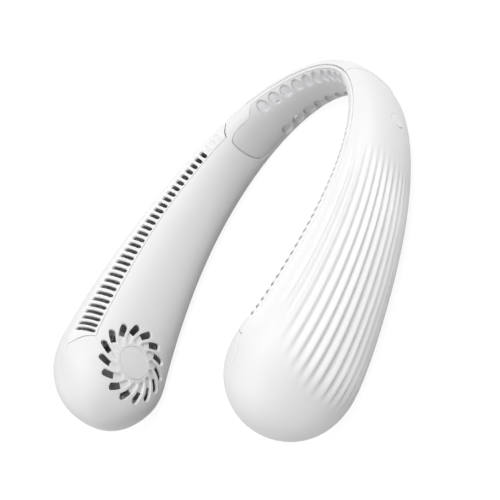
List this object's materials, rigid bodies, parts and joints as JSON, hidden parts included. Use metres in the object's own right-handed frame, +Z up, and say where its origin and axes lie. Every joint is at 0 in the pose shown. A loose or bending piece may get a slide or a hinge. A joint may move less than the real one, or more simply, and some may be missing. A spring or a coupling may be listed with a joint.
{
  "type": "electric neck fan",
  "caption": "White U-shaped fan worn round the neck, with round fan ends, spiral inlet slots, ribbed sides and a row of vents along each arm.",
  "frame": {"origin": "middle of the loop's box at the level it rests on", "axes": "+X the wearer's right arm, +Y to the back of the neck, +Z up; the loop lies on its lower edge"},
  "size_m": [0.1874, 0.2194, 0.0626],
  "materials": {
    "white_shell": "satin white moulded plastic",
    "white_trim": "satin white moulded plastic",
    "soft_pad": "soft matt silicone",
    "impeller_plastic": "light grey plastic",
    "magnet": "dark ferrite",
    "steel": "bright steel",
    "copper_winding": "enamelled copper wire",
    "brass": "sintered bearing metal",
    "dark_plastic": "black plastic",
    "grey_plastic": "grey plastic",
    "battery_foil": "foil pouch",
    "circuit_board": "green solder mask",
    "cable_sleeve": "black sleeve"
  },
  "bodies": {
    "housing": {"inner_shell": "white_shell", "left_outer_shell": "white_shell", "right_outer_shell": "white_shell", "left_vent_strip": "white_trim", "right_vent_strip": "white_trim", "neck_cover": "white_shell", "neck_pad": "soft_pad", "left_centre_disc": "white_trim", "right_centre_disc": "white_trim", "left_stator": "copper_winding", "right_stator": "copper_winding", "left_bearing_tube": "brass", "right_bearing_tube": "brass", "left_motor_bracket": "dark_plastic", "right_motor_bracket": "dark_plastic", "left_air_guide": "grey_plastic", "right_air_guide": "grey_plastic", "left_battery": "battery_foil", "right_battery": "battery_foil", "main_board": "circuit_board", "button_switch": "dark_plastic", "charging_port": "steel", "wiring_loom": "cable_sleeve", "motor_screws": "steel", "board_screws": "steel", "cover_screws": "steel"},
    "left_rotor": {"left_impeller": "impeller_plastic", "left_magnet_ring": "magnet", "left_axle": "steel"},
    "right_rotor": {"right_impeller": "impeller_plastic", "right_magnet_ring": "magnet", "right_axle": "steel"},
    "button": {"power_button": "white_trim"}
  },
  "joints": [
    {"name": "left_impeller_spin", "type": "hinge", "parent": "housing", "child": "left_rotor", "pos_m": [-0.06914, -0.07901, 0.03172], "axis": [0.9637, 0.2658, 0.0234], "continuous": true},
    {"name": "right_impeller_spin", "type": "hinge", "parent": "housing", "child": "right_rotor", "pos_m": [0.06914, -0.07901, 0.03172], "axis": [-0.9637, 0.2658, 0.0234], "continuous": true},
    {"name": "power_button_press", "type": "slide", "parent": "housing", "child": "button", "axis": [-0.8838, -0.4677, -0.0112], "range_m": [0, 0.0006], "stiffness_N_per_m": 800, "springref_m": -0.0005}
  ]
}
